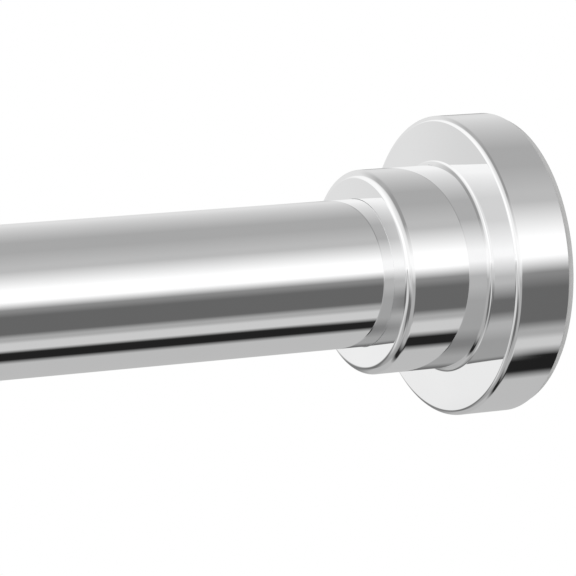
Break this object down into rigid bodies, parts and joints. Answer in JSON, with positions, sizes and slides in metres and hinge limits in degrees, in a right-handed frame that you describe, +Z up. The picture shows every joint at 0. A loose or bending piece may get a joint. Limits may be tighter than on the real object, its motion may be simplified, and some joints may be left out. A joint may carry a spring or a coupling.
{
  "type": "spring tension rod",
  "caption": "Screw-type spring tension rod: a polished tube telescoping in another, with stepped flange covers and soft wall pads, held between two walls by an inner spring.",
  "frame": {"origin": "middle of the right pad's wall face, on the rod's axis", "axes": "+X out of the rod into the right wall, the rod along -X, +Z up"},
  "size_m": [0.69, 0.052, 0.052],
  "materials": {
    "chrome": "polished",
    "grey_rubber": "matte",
    "grey_plastic": "matte",
    "white_plastic": "satin",
    "clear_nylon": "satin",
    "zinc_steel": "zinc plated",
    "spring_steel": "oiled"
  },
  "bodies": {
    "right_foot": {"right_wall_pad": "grey_rubber", "right_foot_plate": "grey_plastic"},
    "outer_tube_group": {"outer_tube": "chrome", "tube_mouth_ring": "grey_plastic", "right_end_plug": "white_plastic", "right_foot_screw": "zinc_steel", "right_foot_washer": "zinc_steel", "screw_guide": "white_plastic", "spring_seat_washer": "zinc_steel", "tension_spring": "spring_steel"},
    "right_cover": {"right_flange_cover": "chrome", "right_cover_grip_ring": "clear_nylon"},
    "lead_screw_group": {"lead_screw": "white_plastic", "thrust_washer": "zinc_steel", "retaining_clip": "spring_steel"},
    "glide": {"glide_ring": "clear_nylon"},
    "inner_tube_group": {"inner_tube": "chrome", "screw_nut": "clear_nylon", "left_end_plug": "white_plastic", "left_foot_screw": "zinc_steel", "left_foot_washer": "zinc_steel"},
    "left_cover": {"left_flange_cover": "chrome", "left_cover_grip_ring": "clear_nylon"},
    "left_foot": {"left_wall_pad": "grey_rubber", "left_foot_plate": "grey_plastic"}
  },
  "joints": [
    {"name": "right_foot_swivel", "type": "hinge", "parent": "right_foot", "child": "outer_tube_group", "pos_m": [0, 0, 0], "axis": [1, 0, 0], "continuous": true},
    {"name": "right_cover_slide", "type": "slide", "parent": "outer_tube_group", "child": "right_cover", "axis": [-1, 0, 0], "range_m": [0, 0.515]},
    {"name": "spring_travel", "type": "slide", "parent": "outer_tube_group", "child": "lead_screw_group", "axis": [1, 0, 0], "range_m": [0, 0.03], "stiffness_N_per_m": 3400, "springref_m": -0.008, "deforming": ["tension_spring"]},
    {"name": "tube_extension", "type": "slide", "parent": "lead_screw_group", "child": "glide", "axis": [-1, 0, 0], "range_m": [-0.08, 0.225]},
    {"name": "tube_twist", "type": "hinge", "parent": "glide", "child": "inner_tube_group", "pos_m": [-0.4, 0, 0], "axis": [-1, 0, 0], "range_deg": [-3600, 10125]},
    {"name": "left_cover_slide", "type": "slide", "parent": "inner_tube_group", "child": "left_cover", "axis": [1, 0, 0], "range_m": [0, 0.115]},
    {"name": "left_foot_swivel", "type": "hinge", "parent": "inner_tube_group", "child": "left_foot", "pos_m": [-0.69, 0, 0], "axis": [-1, 0, 0], "continuous": true}
  ],
  "couplings": [
    {"joint": "tube_extension", "follows": "tube_twist", "m_per_rad": 0.0012732}
  ]
}
